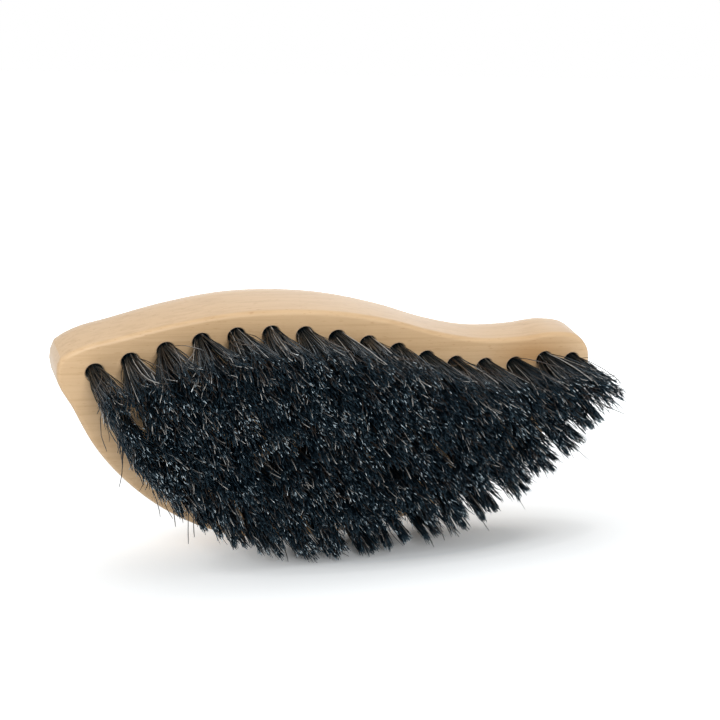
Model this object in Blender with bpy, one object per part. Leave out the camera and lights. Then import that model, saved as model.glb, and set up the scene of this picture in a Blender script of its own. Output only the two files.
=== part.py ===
"""Hand brush for cleaning leather: a comma-shaped beech block with tufts of black horsehair in blind holes.

The block is one piece of beech. Each tuft is folded over a short flat wire that wedges it in its hole.
Everything is modelled in the block's own frame: X along the length towards the tail, Y across the width,
Z out of the drilled face, which lies at Z = 0. The brush then stands on its belly edge and its lowest tips.
"""

import math

import bmesh
import bpy
from mathutils import Matrix, Vector

# Block: overall sizes
block_length = 0.160
block_width = 0.073
block_thickness = 0.0225
face_edge_radius = 0.0014
back_crown = 0.0022

# Tufts: holes, pitches and margins
tuft_pitch = 0.0095
rings_of_tufts = 4
hole_radius = 0.0025
hole_depth = 0.0095
tuft_radius = 0.0020
edge_margin = 0.0074
belly_margin = 0.0100

# Bristles
bristle_length = 0.0243
strand_side = 0.0019
strand_gap = 0.0003
tip_side = 0.0012
tip_splay = 0.0022
edge_splay = 0.0004
tip_trim = 0.0005

# Slices of the face that carry the rows of tufts
slice_thickness = 0.0015
seat_clearance = 0.0003
slice_width = 2 * (tuft_radius + seat_clearance)
overrun = 0.0010

# How the brush stands: its tail is turned down by this angle in the plane of the face
turn_down = math.radians(2)

# The widest margin faces this far round from the belly towards the head
belly_turn = math.radians(18)

# How closely a ring of tufts keeps to its gap, and how finely its corners are rounded off
set_in_share = 0.98
steps_per_pitch = 8

# How finely the round shapes are divided
steps_per_span = 8
spine_stations = 26
face_edge_turns = (90, 60, 30, 0)
back_edge_turns = (0, 25, 50, 72, 90)
end_fan_steps = 16
hole_sides = 8
tuft_sides = 6
locks_per_tuft = 4

# The block's outline, clockwise from the snout: shares of its length and width
outline_shares = [
    (0.000, 0.765), (0.004, 0.821), (0.029, 0.857), (0.099, 0.902), (0.197, 0.955),
    (0.295, 0.991), (0.392, 1.000), (0.490, 0.987), (0.581, 0.952), (0.673, 0.898),
    (0.764, 0.865), (0.850, 0.869), (0.917, 0.885), (0.963, 0.869), (0.992, 0.807),
    (1.000, 0.711), (0.983, 0.591), (0.941, 0.444), (0.874, 0.297), (0.783, 0.152),
    (0.685, 0.066), (0.588, 0.022), (0.496, 0.003), (0.411, 0.001), (0.319, 0.042),
    (0.221, 0.146), (0.142, 0.283), (0.078, 0.444), (0.034, 0.611),
]

# The margin above the first row: shares of the length, and of the edge margin
upper_margin_shares = [
    (0.00, 0.92), (0.07, 1.04), (0.14, 0.98), (0.22, 0.87), (0.32, 0.89), (0.42, 0.96),
    (0.54, 1.09), (0.66, 1.15), (0.78, 1.16), (0.87, 1.18), (0.94, 0.98), (1.00, 0.66),
]
lower_reach = 0.5

# The line midway between the block's two long edges, head to tail: shares of its length and width
spine_shares = [
    (0.148, 0.671), (0.246, 0.551), (0.368, 0.504), (0.520, 0.497),
    (0.673, 0.504), (0.795, 0.578), (0.880, 0.678), (0.929, 0.745),
]

# The palm hump, the dip for the fingers and the tail: shares of length and of thickness
back_shares = [
    (0.00, 0.75), (0.10, 0.86), (0.22, 0.95), (0.33, 1.00), (0.45, 0.96),
    (0.58, 0.83), (0.70, 0.72), (0.82, 0.70), (0.92, 0.71), (1.00, 0.66),
]
back_edge_share = 0.40
halfway_crown_share = 0.75


def clear_scene():
    for item in list(bpy.data.objects):
        bpy.data.objects.remove(item, do_unlink=True)


def wood_material():
    return principled("beech", (0.72, 0.50, 0.29), 0.5)


def hair_material():
    return principled("black_horsehair", (0.012, 0.014, 0.019), 0.42)


def principled(name, colour, roughness):
    material = bpy.data.materials.new(name)
    material.use_nodes = True
    shader = material.node_tree.nodes["Principled BSDF"]
    shader.inputs["Base Color"].default_value = (*colour, 1)
    shader.inputs["Roughness"].default_value = roughness
    shader.inputs["Metallic"].default_value = 0
    return material


def smooth_curve(points, steps, closed):
    """Points on a smooth curve through the given ones, with slopes weighted by the spans on both sides."""
    count = len(points)
    spans = count if closed else count - 1
    length = [(points[(i + 1) % count] - points[i]).length for i in range(count)]
    slopes = []
    for i in range(count):
        after = (points[(i + 1) % count] - points[i]) / length[i]
        before = (points[i] - points[i - 1]) / length[i - 1]
        if not closed and i == 0:
            before = after
        if not closed and i == count - 1:
            after = before
        slopes.append((before * length[i] + after * length[i - 1]) / (length[i] + length[i - 1]))
    curve = []
    for i in range(spans):
        start, end = points[i], points[(i + 1) % count]
        for step in range(steps):
            t = step / steps
            rise = t * t * (3 - 2 * t)
            pull_start = slopes[i] * length[i] * t * (1 - t) ** 2
            pull_end = slopes[(i + 1) % count] * length[i] * t * t * (t - 1)
            curve.append(start.lerp(end, rise) + pull_start + pull_end)
    if not closed:
        curve.append(points[-1])
    return curve


def on_plan(shares):
    return [Vector((x * block_length, y * block_width)) for x, y in shares]


def left_of(direction):
    return Vector((-direction.y, direction.x)).normalized()


def thickness_at(profile, x):
    """The block's thickness at a place along its length, before the crown of the palm side."""
    for a, b in zip(profile, profile[1:]):
        if x <= b.x:
            share = max(0, (x - a.x) / (b.x - a.x))
            return a.y + (b.y - a.y) * share
    return profile[-1].y


def hit_outline(outline, start, direction):
    """Where a ray from inside the outline leaves it."""
    best = None
    for a, b in zip(outline, outline[1:] + outline[:1]):
        edge = b - a
        across = direction.cross(edge)
        if abs(across) == 0:
            continue
        along = (a - start).cross(edge) / across
        share = (a - start).cross(direction) / across
        if along > 0 and 0 <= share <= 1 and (best is None or along < best):
            best = along
    return start + direction * best


def rim_and_spine(outline):
    """Points round the rim, each paired with the number of the spine point that it looks inwards to."""
    stations = spine_stations
    dense = smooth_curve(on_plan(spine_shares), stations, closed=False)
    pick = [dense[round(i * (len(dense) - 1) / stations)] for i in range(stations + 1)]
    normals = []
    for i in range(stations + 1):
        # halfway between square to the spine and square to the block's length, so that no two lines cross
        ahead = pick[min(i + 1, stations)] - pick[max(i - 1, 0)]
        normals.append((left_of(ahead) + Vector((0, 1))).normalized())
    rim = [(hit_outline(outline, pick[i], normals[i]), i) for i in range(stations + 1)]
    rim += fan(outline, pick[-1], normals[-1], stations)
    rim += [(hit_outline(outline, pick[i], -normals[i]), i) for i in reversed(range(stations + 1))]
    rim += fan(outline, pick[0], -normals[0], 0)
    return rim, pick


def fan(outline, centre, first, number):
    """Rim points seen from one end of the spine, turning clockwise through half a circle."""
    points = []
    for step in range(1, end_fan_steps):
        direction = first.copy()
        direction.rotate(Matrix.Rotation(-math.pi * step / end_fan_steps, 2))
        points.append((hit_outline(outline, centre, direction), number))
    return points


def block_mesh(outline):
    """The block before drilling: rings from the flat face round both edges, then the crowned palm side."""
    rim, spine = rim_and_spine(outline)
    profile = [Vector((x * block_length, share * block_thickness)) for x, share in back_shares]
    profile = smooth_curve(profile, steps_per_span, closed=False)
    vertices = []
    for degrees in face_edge_turns:
        turn = math.radians(degrees)
        for point, number in rim:
            inwards = (spine[number] - point).normalized()
            place = point + inwards * face_edge_radius * (1 - math.cos(turn))
            vertices.append((place.x, place.y, -face_edge_radius * (1 - math.sin(turn))))
    for degrees in back_edge_turns:
        turn = math.radians(degrees)
        shoulder = []
        for point, number in rim:
            radius = thickness_at(profile, point.x) * back_edge_share
            inwards = (spine[number] - point).normalized()
            place = point + inwards * radius * (1 - math.cos(turn))
            shoulder.append(place)
            height = thickness_at(profile, place.x) - radius * (1 - math.sin(turn))
            vertices.append((place.x, place.y, -height))
    # the crown rises from nothing at both ends of the spine, and halfway to the edge it has most of its height
    crowns = [back_crown * math.sin(math.pi * i / spine_stations) for i in range(spine_stations + 1)]
    for place, (_, number) in zip(shoulder, rim):
        place = place.lerp(spine[number], 1 / 2)
        height = thickness_at(profile, place.x) + crowns[number] * halfway_crown_share
        vertices.append((place.x, place.y, -height))
    for place, crown in zip(spine, crowns):
        vertices.append((place.x, place.y, -thickness_at(profile, place.x) - crown))

    count = len(rim)
    last_ring = len(face_edge_turns) + len(back_edge_turns)
    faces = [tuple(reversed(range(count)))]
    for ring in range(last_ring):
        for i in range(count):
            j = (i + 1) % count
            low, high = ring * count, (ring + 1) * count
            faces.append((low + i, low + j, high + j, high + i))
    last = last_ring * count
    first_spine = last + count
    for i in range(count):
        j = (i + 1) % count
        centre_i, centre_j = first_spine + rim[i][1], first_spine + rim[j][1]
        if centre_i == centre_j:
            faces.append((last + i, last + j, centre_i))
        else:
            faces.append((last + i, last + j, centre_j, centre_i))
    return vertices, faces


def margin_at(place, outward):
    """Tufts keep a narrow margin along the upper edge and the tail, and a wider one at the head and belly."""
    share = share_at(upper_margin_shares, place.x / block_length)
    near = edge_margin * (1 + (share - 1) * min(1, max(0, 1 + outward.y / lower_reach)))
    towards_belly = Vector((-math.sin(belly_turn), -math.cos(belly_turn)))
    return near + (belly_margin - near) * max(0, outward.dot(towards_belly))


def share_at(shares, along):
    """A table's share at a place along the length, between the table's own places."""
    for (start, low), (end, high) in zip(shares, shares[1:]):
        if along <= end:
            return low + (high - low) * max(0, along - start) / (end - start)
    return shares[-1][1]


def set_in(loop, gap_at):
    """A closed line set in from a clockwise one by a gap that its place and outward direction give, without the
    parts that come nearer than that to another side, such as the loops in tight corners."""
    count = len(loop)
    kept = []
    for i in range(count):
        outward = left_of(loop[(i + 1) % count] - loop[i - 1])
        gap = gap_at(loop[i], outward)
        place = loop[i] - outward * gap
        if distance_to(loop + loop[:1], place) > gap * set_in_share and inside(loop, place):
            kept.append(place)
    return kept


def inside(loop, place):
    """Whether a place lies inside a closed line: a level ray from it crosses the line an odd number of times."""
    crossings = 0
    for a, b in zip(loop, loop[1:] + loop[:1]):
        if (a.y > place.y) != (b.y > place.y):
            crossings += place.x < a.x + (b.x - a.x) * (place.y - a.y) / (b.y - a.y)
    return crossings % 2 == 1


def walk(line, distance):
    """The place on a polyline at a distance along it, and the direction there."""
    for a, b in zip(line, line[1:]):
        length = (b - a).length
        if distance <= length:
            return a.lerp(b, distance / length), (b - a).normalized()
        distance -= length
    return line[-1].copy(), (line[-1] - line[-2]).normalized()


def line_length(line):
    return sum((b - a).length for a, b in zip(line, line[1:]))


def softened(loop):
    """A closed line with its corners rounded off: each place becomes the mean of one tuft pitch around it."""
    line = loop + loop[:1]
    count = steps_per_pitch * round(line_length(line) / tuft_pitch)
    fine = [walk(line, line_length(line) * i / count)[0] for i in range(count)]
    half = steps_per_pitch // 2
    window = range(-half, half + 1)
    return [sum((fine[(i + k) % count] for k in window), Vector((0, 0))) / len(window) for i in range(count)]


def from_snout(loop):
    """The same closed line, begun at its point nearest to the snout and closed with that point again."""
    start = min(range(len(loop)), key=lambda i: loop[i].x - loop[i].y)
    return loop[start:] + loop[:start + 1]


def tuft_rings(outline):
    """The closed lines of tufts, outermost first, evenly set in with half a pitch left round the middle."""
    ring = set_in(outline, margin_at)
    inner_radius = max(distance_to(ring + ring[:1], p) for p in on_plan(spine_shares) if inside(ring, p))
    pitch = inner_radius / (rings_of_tufts - 1 / 2)
    rings = [ring]
    for number in range(1, rings_of_tufts):
        rings.append(set_in(ring, lambda *_, gap=pitch * number: gap))
    return [from_snout(softened(ring)) for ring in rings]


def tuft_rows(outline):
    """Each row: its name, and the places of its tufts with the row's direction there."""
    rows = []
    lines = []
    for number, loop in enumerate(tuft_rings(outline), start=1):
        tail = max(range(len(loop)), key=lambda i: loop[i].x + loop[i].y)
        # the upper side has a tuft in both corners, and the lower side those between them
        for side, line, skipped in (("upper", loop[:tail + 1], 0), ("lower", loop[tail:], 1)):
            gaps = max(1, round(line_length(line) / tuft_pitch))
            stops = [walk(line, line_length(line) * i / gaps) for i in range(skipped, gaps + 1 - skipped)]
            tufts = [(place, way) for place, way in stops if has_room(place, way, lines)]
            if tufts:
                rows.append((f"{side}_tuft_row_{number}", tufts))
                lines.append([place for place, _ in stations_of(tufts, slice_width / 2)])
    return rows


def has_room(place, way, lines):
    """Whether a slice that ends at a tuft keeps the corners of its groove clear of the other lines' grooves."""
    half = slice_width / 2 + seat_clearance
    for along in (-half, half):
        for across in (-half, half):
            corner = place + way * along + left_of(way) * across
            if any(distance_to(line, corner) < half + seat_clearance for line in lines):
                return False
    return True


def distance_to(line, place):
    nearest = []
    for a, b in zip(line, line[1:]):
        along = b - a
        share = min(max((place - a).dot(along) / along.length_squared, 0), 1)
        nearest.append((place - a.lerp(b, share)).length)
    return min(nearest)


def stations_of(tufts, reach):
    """The places and directions that a row's slice runs through: straight past both ends by its reach."""
    (first, first_way), (last, last_way) = tufts[0], tufts[-1]
    return [(first - first_way * reach, first_way)] + tufts + [(last + last_way * reach, last_way)]


def ribbon(tufts, growth, top, bottom):
    """A closed strip through a row's tufts, grown on all sides: vertices and faces."""
    reach = slice_width / 2 + growth
    stations = stations_of(tufts, reach)
    vertices = []
    for place, way in stations:
        side = left_of(way) * reach
        for corner, height in ((side, top), (-side, top), (-side, bottom), (side, bottom)):
            vertices.append((place.x + corner.x, place.y + corner.y, height))
    faces = [(0, 1, 2, 3)]
    last_ring = len(stations) - 1
    for i in range(last_ring):
        for k in range(4):
            a, b = 4 * i + k, 4 * i + (k + 1) % 4
            faces.append((a, a + 4, b + 4, b))
    faces.append(tuple(4 * last_ring + k for k in (3, 2, 1, 0)))
    return vertices, faces


def prism(bottom_ring, top_ring):
    """A closed solid between two rings of as many points, both anticlockwise seen from above."""
    count = len(bottom_ring)
    faces = [tuple(reversed(range(count))), tuple(range(count, 2 * count))]
    for i in range(count):
        j = (i + 1) % count
        faces.append((i, j, count + j, count + i))
    return list(bottom_ring) + list(top_ring), faces


def round_ring(place, way, radius, sides, height):
    turn = math.atan2(way.y, way.x)
    ring = []
    for i in range(sides):
        angle = turn + 2 * math.pi * i / sides
        ring.append(Vector((place.x + radius * math.cos(angle), place.y + radius * math.sin(angle), height)))
    return ring


def joined(solids):
    """Several closed solids as one list of vertices and faces."""
    vertices, faces = [], []
    for more_vertices, more_faces in solids:
        start = len(vertices)
        vertices += more_vertices
        faces += [tuple(start + i for i in face) for face in more_faces]
    return vertices, faces


def tuft_plug(place, way):
    """The folded end of a tuft in its hole, with the flat wire inside the fold."""
    foot = round_ring(place, way, tuft_radius, tuft_sides, seat_clearance - hole_depth)
    shank = round_ring(place, way, tuft_radius, tuft_sides, -slice_thickness / 2)
    return prism(foot, shank)


def strands_of(place, way, outward, floor):
    """Four locks of hair, each three-sided, that fill the tuft at its root and spread towards the tips."""
    solids = []
    axis = Vector((place.x, place.y, 0))
    ahead = Vector((way.x, way.y, 0))
    aside = Vector((-way.y, way.x, 0))
    for lock in range(locks_per_tuft):
        turn = Matrix.Rotation(2 * math.pi * (lock + 1 / 2) / locks_per_tuft, 3, "Z")
        first, second = turn @ ahead, turn @ aside
        middle = (first + second).normalized()
        root_corner = axis + (first + second) * strand_gap / 2
        root = [root_corner, root_corner + first * strand_side, root_corner + second * strand_side]
        tip_corner = axis + middle * tip_splay + Vector((outward.x, outward.y, 0)) * edge_splay
        tip = [tip_corner, tip_corner + first * tip_side, tip_corner + second * tip_side]
        low = [corner + Vector((0, 0, -slice_thickness / 2)) for corner in root]
        high = [corner + Vector((0, 0, bristle_length)) for corner in tip]
        solids.append(prism(low, [cut_at_floor(a, b, floor) for a, b in zip(low, high)]))
    return solids


def cut_at_floor(root, tip, floor):
    """The tip, drawn back along its edge to the floor where it would pass below it."""
    upward, level = floor
    depth = level - upward.dot(tip)
    if depth <= 0:
        return tip
    return tip.lerp(root, depth / (upward.dot(root) - upward.dot(tip)))


def stance(lean):
    """The turn that stands the brush up: the face leans forwards and down, and the tail is turned down."""
    return Matrix.Rotation(math.pi / 2 + lean, 3, "X") @ Matrix.Rotation(-turn_down, 3, "Z")


def lean_angle():
    """How far the brush leans forwards before its lowest tips, less their trim, meet the floor with its belly."""
    overhang = belly_margin - tip_splay - edge_splay - tip_side + tip_trim
    return math.atan(overhang / (bristle_length + face_edge_radius))


def new_object(name, vertices, faces, material):
    mesh = bpy.data.meshes.new(name)
    mesh.from_pydata([tuple(v) for v in vertices], [], faces)
    mesh.materials.append(material)
    shell = bmesh.new()
    shell.from_mesh(mesh)
    bmesh.ops.recalc_face_normals(shell, faces=shell.faces)
    shell.to_mesh(mesh)
    shell.free()
    item = bpy.data.objects.new(name, mesh)
    bpy.context.scene.collection.objects.link(item)
    return item


def boolean(target, other, operation):
    modifier = target.modifiers.new(f"{operation.lower()} {other.name}", "BOOLEAN")
    modifier.operation = operation
    modifier.solver = "EXACT"
    modifier.object = other
    other.hide_render = True
    other.display_type = "WIRE"


def shade(item, degrees):
    item.data.shade_smooth()
    item.data.set_sharp_from_angle(angle=math.radians(degrees))


def make_block(outline, rows, wood):
    vertices, faces = block_mesh(outline)
    block = new_object("wooden_block", vertices, faces, wood)
    shade(block, 40)
    grooves, holes = [], []
    for _, tufts in rows:
        grooves.append(ribbon(tufts, seat_clearance, overrun, -slice_thickness - seat_clearance))
        for place, way in tufts:
            bottom = round_ring(place, way, hole_radius, hole_sides, -hole_depth)
            top = round_ring(place, way, hole_radius, hole_sides, -slice_thickness / 2)
            holes.append(prism(bottom, top))
    boolean(block, new_object("groove_cutter", *joined(grooves), wood), "DIFFERENCE")
    boolean(block, new_object("hole_cutter", *joined(holes), wood), "DIFFERENCE")
    return block


def make_row(row, loop_centre, floor, hair):
    """One row: the slice of the face that carries it, its folded ends in their holes, and its strands."""
    name, tufts = row
    strip = new_object(name, *ribbon(tufts, 0, 0, -slice_thickness), hair)
    plugs = joined([tuft_plug(place, way) for place, way in tufts])
    strands = []
    for place, way in tufts:
        outward = Vector((0, 0))
        if name.endswith("_1"):
            outward = (place - loop_centre).normalized()
        strands += strands_of(place, way, outward, floor)
    plug_item = new_object(f"{name}_plugs", *plugs, hair)
    strand_item = new_object(f"{name}_strands", *joined(strands), hair)
    boolean(strip, plug_item, "UNION")
    boolean(strip, strand_item, "UNION")
    return [strip, plug_item, strand_item]


def main():
    clear_scene()
    wood, hair = wood_material(), hair_material()
    outline = smooth_curve(on_plan(outline_shares), steps_per_span, closed=True)
    rows = tuft_rows(outline)
    turn = stance(lean_angle())
    upward = turn.transposed() @ Vector((0, 0, 1))

    block = make_block(outline, rows, wood)
    floor = (upward, min(upward.dot(v.co) for v in block.data.vertices))
    centre = sum(outline, Vector((0, 0))) / len(outline)
    items = [block]
    for row in rows:
        items += make_row(row, centre, floor, hair)

    corners = [turn @ v.co for item in items for v in item.data.vertices]
    low = Vector([min(c[i] for c in corners) for i in range(3)])
    high = Vector([max(c[i] for c in corners) for i in range(3)])
    stand = bpy.data.objects.new("stance", None)
    bpy.context.scene.collection.objects.link(stand)
    stand.rotation_euler = turn.to_euler()
    stand.location = (-(low.x + high.x) / 2, -(low.y + high.y) / 2, -low.z)
    for item in bpy.data.objects:
        if item != stand:
            item.parent = stand
    bpy.context.view_layer.update()


main()
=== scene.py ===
"""A hand brush for cleaning leather: a comma-shaped beech block, drilled, with tufts of black horsehair."""

import math

import bmesh
import bpy
import numpy as np
from mathutils import Matrix, Vector


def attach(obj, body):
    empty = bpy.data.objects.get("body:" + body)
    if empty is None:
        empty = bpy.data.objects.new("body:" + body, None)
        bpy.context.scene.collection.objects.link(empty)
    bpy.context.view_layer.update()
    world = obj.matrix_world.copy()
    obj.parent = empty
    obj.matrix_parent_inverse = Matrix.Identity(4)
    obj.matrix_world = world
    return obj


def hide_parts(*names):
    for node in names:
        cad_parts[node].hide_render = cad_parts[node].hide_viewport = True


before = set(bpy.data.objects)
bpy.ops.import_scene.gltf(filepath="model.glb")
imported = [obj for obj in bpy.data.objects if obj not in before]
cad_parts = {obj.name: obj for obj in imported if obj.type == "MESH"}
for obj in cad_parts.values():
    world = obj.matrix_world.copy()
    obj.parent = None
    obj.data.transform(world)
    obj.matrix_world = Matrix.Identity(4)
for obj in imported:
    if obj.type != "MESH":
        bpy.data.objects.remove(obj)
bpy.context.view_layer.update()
bpy.ops.object.select_all(action="DESELECT")

# The beech block. One piece of beech is sawn to the comma outline, drilled from its flat face for the
# tufts, rounded over at both edges and sanded. It is modelled lying down, drilled face up at height 0,
# and then stood up on its belly edge as the brush stands.
block_length = 0.160
block_width = 0.073
block_thickness = 0.0225
face_edge_radius = 0.0014
back_crown = 0.0022
back_edge_share = 0.40
hole_radius = 0.0025
hole_depth = 0.0095
hole_mouth = 0.0003
hole_sides = 28
merge_distance = 0.00001
smooth_within = math.radians(35)
steps_per_span = 16
spine_stations = 52
end_fan_steps = 32
face_edge_turns = (90, 75, 60, 45, 30, 15, 0)
back_edge_turns = (0, 12, 25, 38, 52, 66, 78, 90)
crown_shares = (1 / 4, 1 / 2, 3 / 4)

# how the lying block is turned to stand, face forwards and down, tail turned down, and where its origin
# then lies: both repeat what the solids' own script works out for them
lean = math.radians(14.6115)
turn_down = math.radians(2)
stand_at = Vector((-0.081862, 0.010258, 0.002173))
turn = Matrix.Rotation(math.pi / 2 + lean, 4, "X") @ Matrix.Rotation(-turn_down, 4, "Z")
stance = Matrix.Translation(stand_at) @ turn

# the outline as shares of length and width, the line along its middle, and the thickness along its length
outline_shares = [
    (0.000, 0.765), (0.004, 0.821), (0.029, 0.857), (0.099, 0.902), (0.197, 0.955),
    (0.295, 0.991), (0.392, 1.000), (0.490, 0.987), (0.581, 0.952), (0.673, 0.898),
    (0.764, 0.865), (0.850, 0.869), (0.917, 0.885), (0.963, 0.869), (0.992, 0.807),
    (1.000, 0.711), (0.983, 0.591), (0.941, 0.444), (0.874, 0.297), (0.783, 0.152),
    (0.685, 0.066), (0.588, 0.022), (0.496, 0.003), (0.411, 0.001), (0.319, 0.042),
    (0.221, 0.146), (0.142, 0.283), (0.078, 0.444), (0.034, 0.611),
]
spine_shares = [
    (0.148, 0.671), (0.246, 0.551), (0.368, 0.504), (0.520, 0.497),
    (0.673, 0.504), (0.795, 0.578), (0.880, 0.678), (0.929, 0.745),
]
back_shares = [
    (0.00, 0.75), (0.10, 0.86), (0.22, 0.95), (0.33, 1.00), (0.45, 0.96),
    (0.58, 0.83), (0.70, 0.72), (0.82, 0.70), (0.92, 0.71), (1.00, 0.66),
]


def smooth_curve(points, steps, closed):
    """Points on a smooth curve through the given ones."""
    count = len(points)
    spans = count if closed else count - 1
    length = [(points[(i + 1) % count] - points[i]).length for i in range(count)]
    slopes = []
    for i in range(count):
        after = (points[(i + 1) % count] - points[i]) / length[i]
        before = (points[i] - points[i - 1]) / length[i - 1]
        if not closed and i == 0:
            before = after
        if not closed and i == count - 1:
            after = before
        slopes.append((before * length[i] + after * length[i - 1]) / (length[i] + length[i - 1]))
    curve = []
    for i in range(spans):
        start, end = points[i], points[(i + 1) % count]
        for step in range(steps):
            t = step / steps
            rise = t * t * (3 - 2 * t)
            pull_start = slopes[i] * length[i] * t * (1 - t) ** 2
            pull_end = slopes[(i + 1) % count] * length[i] * t * t * (t - 1)
            curve.append(start.lerp(end, rise) + pull_start + pull_end)
    if not closed:
        curve.append(points[-1])
    return curve


def hit_outline(start, direction):
    """Where a ray from inside the outline leaves it."""
    best = None
    for a, b in zip(outline, outline[1:] + outline[:1]):
        edge = b - a
        across = direction.cross(edge)
        if across == 0:
            continue
        along = (a - start).cross(edge) / across
        share = (a - start).cross(direction) / across
        if along > 0 and 0 <= share <= 1 and (best is None or along < best):
            best = along
    return start + direction * best


def thickness_at(x):
    """The block's thickness at a place along its length, before the crown of the palm side."""
    for a, b in zip(profile, profile[1:]):
        if x <= b.x:
            share = max(0, (x - a.x) / (b.x - a.x))
            return a.y + (b.y - a.y) * share
    return profile[-1].y


plan = Vector((block_length, block_width))
outline = smooth_curve([Vector(share) * plan for share in outline_shares], steps_per_span, closed=True)
profile = [Vector((x * block_length, share * block_thickness)) for x, share in back_shares]
profile = smooth_curve(profile, steps_per_span, closed=False)

# the rim, each point with the number of the spine point that it looks inwards to
dense = smooth_curve([Vector(share) * plan for share in spine_shares], spine_stations, closed=False)
spine = [dense[round(i * (len(dense) - 1) / spine_stations)] for i in range(spine_stations + 1)]
across = []
for i in range(spine_stations + 1):
    ahead = spine[min(i + 1, spine_stations)] - spine[max(i - 1, 0)]
    across.append((Vector((-ahead.y, ahead.x)).normalized() + Vector((0, 1))).normalized())
rim = [(hit_outline(spine[i], across[i]), i) for i in range(spine_stations + 1)]
for number, first, back_again in ((spine_stations, across[-1], True), (0, -across[0], False)):
    for step in range(1, end_fan_steps):
        direction = first.copy()
        direction.rotate(Matrix.Rotation(-math.pi * step / end_fan_steps, 2))
        rim.append((hit_outline(spine[number], direction), number))
    if back_again:
        rim += [(hit_outline(spine[i], -across[i]), i) for i in reversed(range(spine_stations + 1))]

# rings of the block's surface, from the flat face round both edges to the crowned palm side
rings = []
for degrees in face_edge_turns:
    angle = math.radians(degrees)
    ring = []
    for point, number in rim:
        inwards = (spine[number] - point).normalized()
        place = point + inwards * face_edge_radius * (1 - math.cos(angle))
        ring.append((place.x, place.y, -face_edge_radius * (1 - math.sin(angle))))
    rings.append(ring)
for degrees in back_edge_turns:
    angle = math.radians(degrees)
    ring, shoulder = [], []
    for point, number in rim:
        radius = thickness_at(point.x) * back_edge_share
        inwards = (spine[number] - point).normalized()
        place = point + inwards * radius * (1 - math.cos(angle))
        shoulder.append(place)
        ring.append((place.x, place.y, -thickness_at(place.x) + radius * (1 - math.sin(angle))))
    rings.append(ring)
crowns = [back_crown * math.sin(math.pi * i / spine_stations) for i in range(spine_stations + 1)]
for share in (*crown_shares, 1):
    ring = []
    for edge, (_, number) in zip(shoulder, rim):
        place = edge.lerp(spine[number], share)
        height = thickness_at(place.x) + crowns[number] * (1 - (1 - share) ** 2)
        ring.append((place.x, place.y, -height))
    rings.append(ring)

# the face is a filled circle drawn out to the first ring, and its edge is extruded from ring to ring
bpy.ops.mesh.primitive_circle_add(vertices=len(rim), radius=block_width, fill_type="NGON")
block = bpy.context.object
block.name = "beech_block"
station = block.data.attributes.new("station", "INT", "POINT")
for vertex, place in zip(block.data.vertices, rings[0]):
    vertex.co = place
    station.data[vertex.index].value = vertex.index
for ring in rings[1:]:
    bpy.ops.object.mode_set(mode="EDIT")
    bpy.ops.mesh.extrude_edges_move()
    bpy.ops.object.mode_set(mode="OBJECT")
    numbers = block.data.attributes["station"].data
    for vertex in block.data.vertices:
        if vertex.select:
            vertex.co = ring[numbers[vertex.index].value]
bpy.ops.object.mode_set(mode="EDIT")
bpy.ops.mesh.select_all(action="SELECT")
bpy.ops.mesh.remove_doubles(threshold=merge_distance)
bpy.ops.mesh.normals_make_consistent(inside=False)
bpy.ops.object.mode_set(mode="OBJECT")
block.data.attributes.remove(block.data.attributes["station"])
bpy.ops.object.select_all(action="DESELECT")

# faces that are flat within an angle are joined, and a tuft's foot is one near the bottom of its hole
flat_within = math.radians(1)
foot_depth_share = 0.9


def tufts_of(node):
    """Where a row's tufts stand on the lying block: the middles of the flat feet of their folded ends."""
    shell = bmesh.new()
    shell.from_mesh(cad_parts[node].data)
    bmesh.ops.remove_doubles(shell, verts=shell.verts, dist=merge_distance)
    bmesh.ops.transform(shell, matrix=stance.inverted(), verts=shell.verts)
    bmesh.ops.dissolve_limit(shell, angle_limit=flat_within, verts=shell.verts, edges=shell.edges)
    middles = [face.calc_center_median() for face in shell.faces]
    shell.free()
    feet = [middle for middle in middles if middle.z < -hole_depth * foot_depth_share]
    return sorted((Vector((foot.x, foot.y, 0)) for foot in feet), key=lambda foot: foot.x)


row_nodes = [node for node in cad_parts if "_tuft_row_" in node]
row_nodes.sort(key=lambda node: (node.split("_")[-1], node))
rows = {node: tufts_of(node) for node in row_nodes}

# one blind hole's cutter, its mouth eased as a drill and a touch of sanding leave it, copied to each hole
bpy.ops.mesh.primitive_cylinder_add(
    vertices=hole_sides, radius=hole_radius, depth=hole_depth, location=(0, 0, -hole_depth / 2 - hole_mouth)
)
drill = bpy.context.object
drill.name = "drill"
bpy.ops.object.mode_set(mode="EDIT")
bpy.ops.mesh.select_all(action="DESELECT")
bpy.ops.object.mode_set(mode="OBJECT")
facing_up = 0.9
for face in drill.data.polygons:
    face.select = face.normal.z > facing_up
bpy.ops.object.mode_set(mode="EDIT")
bpy.ops.mesh.extrude_region_move(TRANSFORM_OT_translate={"value": (0, 0, 2 * hole_mouth)})
widening = 1 + 2 * hole_mouth / hole_radius
bpy.ops.transform.resize(value=(widening, widening, 1), center_override=(0, 0, 0))
bpy.ops.object.mode_set(mode="OBJECT")
drill.data.transform(Matrix.Translation(drill.location))
drill.location = (0, 0, 0)
drills = []
for tufts in rows.values():
    for tuft in tufts:
        copy = drill.copy()
        copy.data = drill.data.copy()
        copy.data.transform(Matrix.Translation(tuft))
        bpy.context.collection.objects.link(copy)
        drills.append(copy)
bpy.data.objects.remove(drill)
bpy.ops.object.select_all(action="DESELECT")
for copy in drills:
    copy.select_set(True)
bpy.context.view_layer.objects.active = drills[0]
bpy.ops.object.join()
drills = bpy.context.object
cut = block.modifiers.new("holes", "BOOLEAN")
cut.operation = "DIFFERENCE"
cut.solver = "EXACT"
cut.object = drills
bpy.ops.object.select_all(action="DESELECT")
block.select_set(True)
bpy.context.view_layer.objects.active = block
bpy.ops.object.modifier_apply(modifier=cut.name)
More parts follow.
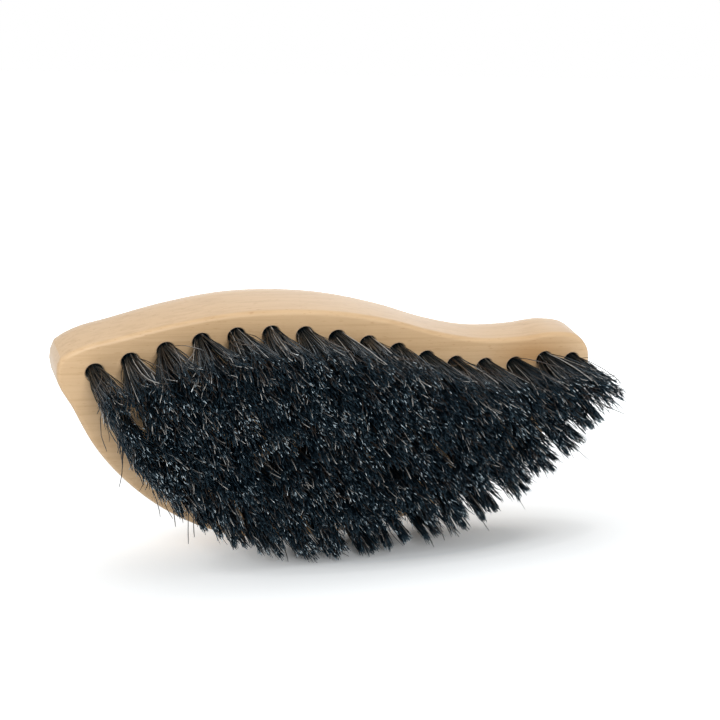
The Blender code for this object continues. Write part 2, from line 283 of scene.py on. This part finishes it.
bpy.data.objects.remove(drills)
bpy.ops.object.shade_smooth_by_angle(angle=smooth_within)
block.data.transform(stance)


def new_material(name):
    """A material, with its nodes, its links and its shader."""
    material = bpy.data.materials.new(name)
    material.use_nodes = True
    tree = material.node_tree
    return material, tree.nodes, tree.links, tree.nodes["Principled BSDF"]


# the next functions add to the nodes and links of the material, or the world, that is being made
def mapped(source, kind="POINT", **places):
    """Coordinates moved, turned or scaled."""
    mapping = nodes.new("ShaderNodeMapping")
    mapping.vector_type = kind
    for name, value in places.items():
        mapping.inputs[name.title()].default_value = value
    links.new(source, mapping.inputs["Vector"])
    return mapping.outputs["Vector"]


def distance_out(source):
    """How far coordinates lie from their middle."""
    distance = nodes.new("ShaderNodeVectorMath")
    distance.operation = "LENGTH"
    links.new(source, distance.inputs[0])
    return distance.outputs["Value"]


def stretched_noise(name, scale, detail, roughness):
    """Noise drawn out along the grain: the scale is in patches a metre along, across and through."""
    noise = nodes.new("ShaderNodeTexNoise")
    noise.name = name
    noise.inputs["Scale"].default_value = 1
    noise.inputs["Detail"].default_value = detail
    noise.inputs["Roughness"].default_value = roughness
    links.new(mapped(lying, scale=scale), noise.inputs["Vector"])
    return noise.outputs["Fac"]


def ramp(source, stops):
    """A colour ramp with the given places and colours, fed by a source."""
    made = nodes.new("ShaderNodeValToRGB")
    elements = made.color_ramp.elements
    while len(elements) < len(stops):
        elements.new(0.5)
    for element, (place, colour) in zip(elements, stops):
        element.position = place
        element.color = (*colour, 1)
    links.new(source, made.inputs["Fac"])
    return made.outputs["Color"]


def mixed(kind, first, second, share=None):
    """Two colours mixed, wholly or by a mask."""
    mix = nodes.new("ShaderNodeMix")
    mix.data_type = "RGBA"
    mix.blend_type = kind
    mix.inputs["Factor"].default_value = 1
    if share is not None:
        links.new(share, mix.inputs["Factor"])
    links.new(first, mix.inputs[6])
    links.new(second, mix.inputs[7])
    # of this node's sockets, inputs 6 and 7 and output 2 are the ones for colours
    return mix.outputs[2]


def ranged(source, least, most):
    """A value from 0 to 1 stretched between two others."""
    stretch = nodes.new("ShaderNodeMapRange")
    stretch.inputs["To Min"].default_value = least
    stretch.inputs["To Max"].default_value = most
    links.new(source, stretch.inputs["Value"])
    return stretch.outputs["Result"]


# pale steamed beech: long faint grain, short darker flecks, a warmer tone in soft bands, sanded satin,
# with a painted shade, a browner patch, on the drilled face near the tail
warm_beech, pale_beech = (0.568, 0.378, 0.202), (0.625, 0.436, 0.254)
grain_line, fleck_tint, painted_shade_tint = (0.90, 0.87, 0.83), (0.86, 0.79, 0.72), (0.86, 0.74, 0.60)
clear = (1, 1, 1)
painted_shade_at = (0.140, 0.058, 0)
painted_shade_reach = (0.016, 0.007, 0.008)
smoothest, roughest = 0.42, 0.58
pore_depth = 0.00008
pore_strength = 0.15
beech, nodes, links, shader = new_material("beech")
coordinates = nodes.new("ShaderNodeTexCoord").outputs["Object"]
to_lying = stance.inverted()
lying = mapped(coordinates, location=to_lying.translation, rotation=to_lying.to_euler())
bands = stretched_noise("bands", scale=(9, 60, 60), detail=2, roughness=0.5)
grain = stretched_noise("grain", scale=(22, 900, 900), detail=4, roughness=0.6)
flecks = stretched_noise("flecks", scale=(420, 2600, 2600), detail=1, roughness=0.4)
tone = ramp(bands, [(0.30, warm_beech), (0.70, pale_beech)])
tone = mixed("MULTIPLY", tone, ramp(grain, [(0.35, grain_line), (0.55, clear)]))
tone = mixed("MULTIPLY", tone, ramp(flecks, [(0.66, clear), (0.74, fleck_tint)]))
# painted shade: the colour is browned in a soft patch on the drilled face near the tail
from_painted_shade = distance_out(mapped(lying, "TEXTURE", location=painted_shade_at, scale=painted_shade_reach))
tone = mixed("MULTIPLY", tone, ramp(from_painted_shade, [(0.2, painted_shade_tint), (1.0, clear)]))
links.new(tone, shader.inputs["Base Color"])
links.new(ranged(grain, smoothest, roughest), shader.inputs["Roughness"])
pores = nodes.new("ShaderNodeBump")
pores.inputs["Strength"].default_value = pore_strength
pores.inputs["Distance"].default_value = pore_depth
links.new(grain, pores.inputs["Height"])
links.new(pores.outputs["Normal"], shader.inputs["Normal"])
shader.inputs["Sheen Weight"].default_value = 0.4
shader.inputs["Sheen Roughness"].default_value = 0.4
block.data.materials.append(beech)
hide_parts("wooden_block")
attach(block, "root")

# The tufts of black horsehair. Each is a pinch of hairs folded over a flat wire that is punched into its
# blind hole. The hairs fan out from the hole in small locks and curl a little at their cut tips. Half of
# them are up to a fifth shorter than the rest, and a few are bent aside.
hairs_per_tuft = 220
locks_per_tuft = 8
first_seed = 40
root_radius = 0.00225
lock_root_share = 0.85
hair_radius = 0.00012
hair_sides = 3
thinnest_share, thickest_share = 0.7, 1.3
tip_narrowing = 0.6
heights = np.array([-0.0088, 0.0002, 0.0075, 0.0145, 0.0195, 0.0223, 0.0243])
bristle_length = heights[-1]

# how unevenly the tips lie, bend and are cut
tuft_scatter = 0.0005
lock_scatter = 0.0007
tip_scatter = 0.0004
bend = 0.0004
curl = 0.0009
curl_power = 6
trim_scatter = 0.0005
tuft_drop_share = 0.012
lock_drop_share = 0.035
longest_share = 1.02
short_share = 0.5
short_by_share = 0.20
stray_reach = 0.0030
stray_bend = 3

# how many times wider than its roots a tuft fans out, and each of its locks, how much more along the row,
# how much it curls, how many of its hairs stray, and how far it is held back from the block's edge
plain_spread = {"fan": 2.45, "lock_fan": 2.0, "along_row": 1, "curl": 1, "strays": 0.025, "held_back": 0}
wide_spread = {"fan": 2.7, "lock_fan": 2.6}
pointed_spread = {"fan": 2.1, "lock_fan": 0.5, "curl": 0.4}
first_row_strays = 0.06
first_row_spread, last_tuft_spread = 1.3, 0.8
held_at_rim, eased_at_top, held_at_tail = 0.95, 0.8, 0.6
pointed_from = block_length * 0.17

# the hairs' tones, from jet black at 0 to pale at 1, and the painted highlight on the cut ends of a lock
stray_tones = (0.89, 0.93)
brown_from, brown_tone = 0.86, 0.92
pale_from, pale_tone = 0.93, 0.99
painted_shade_share = 0.8
dullest_lock_glint, brightest_lock_glint = 0.55, 1.0

# the tips on the ground lie in a thin layer on it
rest_share = 1.8
splay_depth = 0.0002

# one hair is a thin three-sided rod of six lengths, drawn out to a blunt tip
bpy.ops.mesh.primitive_circle_add(vertices=hair_sides, radius=1, fill_type="NGON")
hair = bpy.context.object
for _ in heights[1:]:
    bpy.ops.object.mode_set(mode="EDIT")
    bpy.ops.mesh.extrude_region_move(TRANSFORM_OT_translate={"value": (0, 0, 1)})
    bpy.ops.object.mode_set(mode="OBJECT")
bpy.ops.object.mode_set(mode="EDIT")
bpy.ops.mesh.select_all(action="SELECT")
bpy.ops.mesh.normals_make_consistent(inside=False)
bpy.ops.object.mode_set(mode="OBJECT")
hair_corners = np.array([vertex.co for vertex in hair.data.vertices])
hair_faces = [tuple(face.vertices) for face in hair.data.polygons]
bpy.data.objects.remove(hair)
corner_step = np.rint(hair_corners[:, 2]).astype(int)
field_middle = np.array((block_length, block_width)) / 2


def outward_at(node, tufts, number):
    """The direction from a tuft to the nearer edge of the block, which is along the row at the snout."""
    ahead = tufts[min(number + 1, len(tufts) - 1)] - tufts[max(number - 1, 0)]
    if number == 0 and node.startswith("upper"):
        return -np.array(ahead[:2]) / ahead.length
    aside = np.array((-ahead.y, ahead.x)) / ahead.length
    return aside * np.sign(aside @ (np.array(tufts[number][:2]) - field_middle))


def spread_at(node, tufts, number, outward):
    """How a tuft spreads, by its row and its place in it: widest in the two rows at the upper edge, and in
    pointed locks along the belly."""
    upper, ring = node.startswith("upper"), node[-1]
    at_tail = tufts[number].x > field_middle[0]
    spread = dict(plain_spread)
    if ring == "1":
        spread["held_back"] = held_at_rim - eased_at_top * max(0, outward[1])
    if upper and ring == "1":
        spread["strays"] = first_row_strays
        if number > 0:
            spread.update(wide_spread)
            spread["along_row"] = first_row_spread if number < len(tufts) - 1 else last_tuft_spread
    elif upper and ring == "2":
        spread.update(wide_spread)
    elif ring == "1" and tufts[number].x > pointed_from:
        spread.update(pointed_spread)
        if at_tail:
            spread["held_back"] = held_at_tail
    elif ring == "2" and at_tail:
        spread["fan"] = pointed_spread["fan"]
    return spread


def disc(draw, count, radius):
    """Places spread evenly over a disc."""
    angle = draw.uniform(0, 2 * np.pi, count)
    reach = radius * np.sqrt(draw.uniform(0, 1, (count, 1)))
    return reach * np.stack([np.cos(angle), np.sin(angle)], axis=1)


def hair_lines(tuft, outward, spread, draw):
    """The middle lines of a tuft's hairs on the lying block, each hair's tone and its painted tip
    highlight.
    """
    count = hairs_per_tuft
    row = np.array((-outward[1], outward[0]))
    # each hair belongs to the nearest lock, and its tip lies about where that lock's middle fans out to
    roots = disc(draw, count, root_radius)
    locks = disc(draw, locks_per_tuft, root_radius * lock_root_share)
    mine = np.argmin(np.linalg.norm(roots[:, None] - locks[None], axis=2), axis=1)
    middles = locks * spread["fan"] + draw.normal(0, lock_scatter, locks.shape)
    middles = middles + draw.normal(0, tuft_scatter, 2)
    middles += (middles @ row)[:, None] * row * (spread["along_row"] - 1)
    tips = middles[mine] + (roots - locks[mine]) * spread["lock_fan"]
    tips = tips + draw.normal(0, tip_scatter, (count, 2))
    # the tips are held back from the edge, and strays lean out over it and bend more
    reach = np.maximum(0, (tips - roots) @ outward)
    tips -= outward * (reach * spread["held_back"])[:, None]
    stray = (draw.uniform(0, 1, count) < spread["strays"])[:, None]
    aside = draw.normal(0, stray_reach, (count, 2))
    tips += (aside + outward * draw.uniform(0, stray_reach / 2, (count, 1))) * stray
    bends = draw.normal(0, bend, (count, 2)) * np.where(stray, stray_bend, 1)
    curls = draw.normal(0, curl * spread["curl"], (count, 2))
    # the tips are trimmed level, but whole tufts, locks and single hairs sit a little low
    length = 1 + draw.normal(0, trim_scatter, count) / bristle_length
    length -= np.abs(draw.normal(0, tuft_drop_share))
    length = np.minimum(length, longest_share)
    length -= np.abs(draw.normal(0, lock_drop_share, locks_per_tuft))[mine]
    short = draw.uniform(0, 1, count) < short_share
    length -= np.where(short, draw.uniform(0, short_by_share, count), 0)
    # a hair runs from root to tip, bowed on its way and curled at its end
    lines = np.zeros((count, len(heights), 3))
    for step, share in enumerate(np.clip(heights, 0, None) / bristle_length):
        fanned = roots + (tips - roots) * share + bends * math.sin(math.pi * share)
        fanned = fanned + curls * share**curl_power
        lines[:, step, :2] = np.array(tuft[:2]) + fanned
        lines[:, step, 2] = heights[step] * (length if heights[step] > 0 else 1)
    # each hair's painted highlight at its cut tip, brighter in some locks than in others
    light = draw.uniform(dullest_lock_glint, brightest_lock_glint, locks_per_tuft)[mine] * draw.uniform(0, 1, count)
    tone = np.where(stray[:, 0], draw.uniform(*stray_tones, count), draw.uniform(0, 1, count))
    return lines, tone, light


for number, (node, tufts) in enumerate(rows.items()):
    draw = np.random.default_rng(first_seed + number)
    sets = []
    for place, tuft in enumerate(tufts):
        outward = outward_at(node, tufts, place)
        sets.append(hair_lines(tuft, outward, spread_at(node, tufts, place, outward), draw))
    lines, tones, lights = (np.concatenate(values) for values in zip(*sets))
    if node == "upper_tuft_row_1":
        # seen from the side: most hairs jet black, darkened as painted shade, some dark brown and a few
        # pale
        darker = np.where(tones > brown_from, brown_tone, tones * painted_shade_share)
        tones = np.where(tones > pale_from, pale_tone, darker)
    count = len(lines)
    # stood up as the brush stands, with the lowest tips splayed on the surface under it
    upright = lines @ np.array(stance.to_3x3()).T + np.array(stance.translation)
    lowest = hair_radius * rest_share + draw.uniform(0, splay_depth, count)
    upright[..., 2] = np.maximum(upright[..., 2], lowest[:, None])
    girth = np.interp(heights, [0, heights[-2], heights[-1]], [1, 1, tip_narrowing]) * hair_radius
    thickness = draw.uniform(thinnest_share, thickest_share, count)
    spin = draw.uniform(0, 2 * np.pi, count)
    ring = hair_corners[:, 0] + 1j * hair_corners[:, 1]
    turned = ring[None, :] * (thickness * np.exp(1j * spin))[:, None] * girth[corner_step][None, :]
    flat = np.stack([turned.real, turned.imag, np.zeros_like(turned.real)], axis=2)
    corners = upright[:, corner_step] + flat @ np.array(stance.to_3x3()).T
    size = len(hair_corners)
    faces = [tuple(i + size * k for i in face) for k in range(count) for face in hair_faces]
    mesh = bpy.data.meshes.new(f"{node}_hair")
    mesh.from_pydata(corners.reshape(-1, 3).tolist(), [], faces)
    values = {
        "tone": np.repeat(tones, size),
        "painted_tip_glint": np.repeat(lights, size),
        "along": np.tile(heights[corner_step] / bristle_length, count),
    }
    for name, each in values.items():
        mesh.attributes.new(name, "FLOAT", "POINT").data.foreach_set("value", each.astype(np.float32))
    mesh.shade_smooth()
    piece = bpy.data.objects.new(f"{node}_hair", mesh)
    bpy.context.collection.objects.link(piece)
    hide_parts(node)
    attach(piece, "root")


def attribute(name):
    """One of the values that the hairs carry."""
    reader = nodes.new("ShaderNodeAttribute")
    reader.attribute_name = name
    return reader.outputs["Fac"]


# black hair with a blue sheen and a faint blue-grey painted sheen towards its end; some hairs are dark
# brown, grey or pale, and painted highlights sit on some cut tips
jet, black, sooty = (0.002, 0.006, 0.010), (0.004, 0.010, 0.016), (0.009, 0.013, 0.016)
brown, grey, pale = (0.050, 0.032, 0.021), (0.070, 0.080, 0.088), (0.42, 0.40, 0.37)
none, painted_sheen = (0, 0, 0), (0.0045, 0.0065, 0.0085)
dull_painted_glint, bright_painted_glint = (0.07, 0.10, 0.118), (0.54, 0.64, 0.69)
blue_sheen = (0.48, 0.80, 1.0, 1)
shades = [(0.00, jet), (0.80, black), (0.87, sooty), (brown_tone, brown), (0.95, grey), (0.975, pale)]
horsehair, nodes, links, shader = new_material("black_horsehair")
shaft = ramp(attribute("tone"), shades)
# painted sheen: a faint blue-grey added to the colour towards each hair's end
shaft = mixed("ADD", shaft, ramp(attribute("along"), [(0.70, none), (0.92, painted_sheen)]))
# painted highlight: a blue-white glint added to the colour at some hairs' cut tips
painted_glint_colour = ramp(attribute("painted_tip_glint"), [(0.62, none), (0.70, dull_painted_glint), (0.90, bright_painted_glint)])
painted_glint_at_end = ramp(attribute("along"), [(0.955, none), (0.965, clear)])
links.new(mixed("ADD", shaft, painted_glint_colour, painted_glint_at_end), shader.inputs["Base Color"])
shader.inputs["Roughness"].default_value = 0.32
shader.inputs["Specular IOR Level"].default_value = 0.35
shader.inputs["Specular Tint"].default_value = blue_sheen
for node in rows:
    bpy.data.objects[f"{node}_hair"].data.materials.append(horsehair)

# The surface that the brush stands on: a wide sheet of matt white, which shows the brush's soft grey
# shadow near its foot. The shadow is cast, but a painted glow sets where it fades. It is no piece of the
# brush.
ground_size = 12
footprint_middle = (-0.006, 0.006, 0)
footprint_stretch = (0.3, 1, 1)
white_from = 0.2
painted_glow_stops = [
    (0.050, 0.0), (0.060, 0.07), (0.0725, 0.16), (0.085, 0.20), (0.095, 0.27), (0.150, 0.34), (1.0, 1.0),
]
bpy.ops.mesh.primitive_plane_add(size=ground_size, location=(0, 0, 0))
ground = bpy.context.object
ground.name = "ground"
white, nodes, links, shader = new_material("white_ground")
shader.inputs["Base Color"].default_value = (0.915, 0.937, 0.95, 1)
shader.inputs["Roughness"].default_value = 1
shader.inputs["Specular IOR Level"].default_value = 0
shader.inputs["Emission Color"].default_value = (0.985, 1.0, 1.005, 1)


def combined(operation, first, second):
    """Two values multiplied, or the larger of the two."""
    both = nodes.new("ShaderNodeMath")
    both.operation = operation
    links.new(first, both.inputs[0])
    links.new(second, both.inputs[1])
    return both.outputs["Value"]


def seen_directly():
    """1 where the camera sees a surface, also as a gleam or through something, else 0."""
    rays = nodes.new("ShaderNodeLightPath").outputs
    seen = combined("MAXIMUM", rays["Is Camera Ray"], rays["Is Glossy Ray"])
    return combined("MAXIMUM", seen, rays["Is Transmission Ray"])


# a painted glow lifts it to white from a little way off the brush's long footprint on
position = nodes.new("ShaderNodeTexCoord").outputs["Object"]
from_foot = distance_out(mapped(position, location=footprint_middle, scale=footprint_stretch))
reach = nodes.new("ShaderNodeMath")
reach.operation = "MULTIPLY"
reach.inputs[1].default_value = 1 / white_from
links.new(from_foot, reach.inputs[0])
painted_glow = ramp(reach.outputs["Value"], [(place, (level, level, level)) for place, level in painted_glow_stops])
links.new(combined("MULTIPLY", seen_directly(), painted_glow), shader.inputs["Emission Strength"])
ground.data.materials.append(white)

# The light. A pale surround looks white, but lights little more than half as much. Four soft square
# panels hang above, at the left, in front, to reach the drilled face, and behind, which only gleams.
surround_light, surround_white = 0.57, 1.0
brush_middle = Vector((0, 0, 0.03))
world = bpy.data.worlds.new("surround")
bpy.context.scene.world = world
world.use_nodes = True
nodes, links = world.node_tree.nodes, world.node_tree.links
level = ranged(seen_directly(), surround_light, surround_white)
links.new(level, nodes["Background"].inputs["Strength"])
nodes["Background"].inputs["Color"].default_value = (1, 1, 1, 1)


def panel(name, place, size, watts):
    """A soft square light at a place, turned to the brush."""
    light = bpy.data.lights.new(name, "AREA")
    light.size = size
    light.energy = watts
    lamp = bpy.data.objects.new(name, light)
    lamp.location = place
    lamp.rotation_euler = (brush_middle - Vector(place)).to_track_quat("-Z", "Y").to_euler()
    bpy.context.collection.objects.link(lamp)
    return lamp


panel("overhead", place=(-0.05, 0.05, 0.90), size=0.6, watts=1.0)
panel("side", place=(-0.80, -0.10, 0.60), size=0.5, watts=0.9)
panel("front", place=(-0.15, -1.05, 0.38), size=0.4, watts=8.0)
gleam = panel("behind", place=(0.50, 0.95, 0.60), size=0.9, watts=4.2)
gleam.visible_diffuse = False

# The camera stands in front of the drilled face, a little to the left and a little above the brush. Its
# place and its directions are given in the lying block's frame and are stood up with the brush.
sensor_width = 36
lens = 75.6
eye = Vector((-0.0783, 0.2326, 0.3492))
forward = Vector((0.3853, -0.4133, -0.825)).normalized()
up = Vector((0.026, 0.8986, -0.438))
camera = bpy.data.cameras.new("camera")
camera.sensor_width = sensor_width
camera.lens = lens
viewpoint = bpy.data.objects.new("camera", camera)
bpy.context.collection.objects.link(viewpoint)
right = forward.cross(up).normalized()
up = right.cross(forward)
facing = Matrix((right, up, -forward)).transposed().to_4x4()
viewpoint.matrix_world = stance @ Matrix.Translation(eye) @ facing
bpy.context.scene.camera = viewpoint
bpy.context.scene.view_settings.view_transform = "Standard"
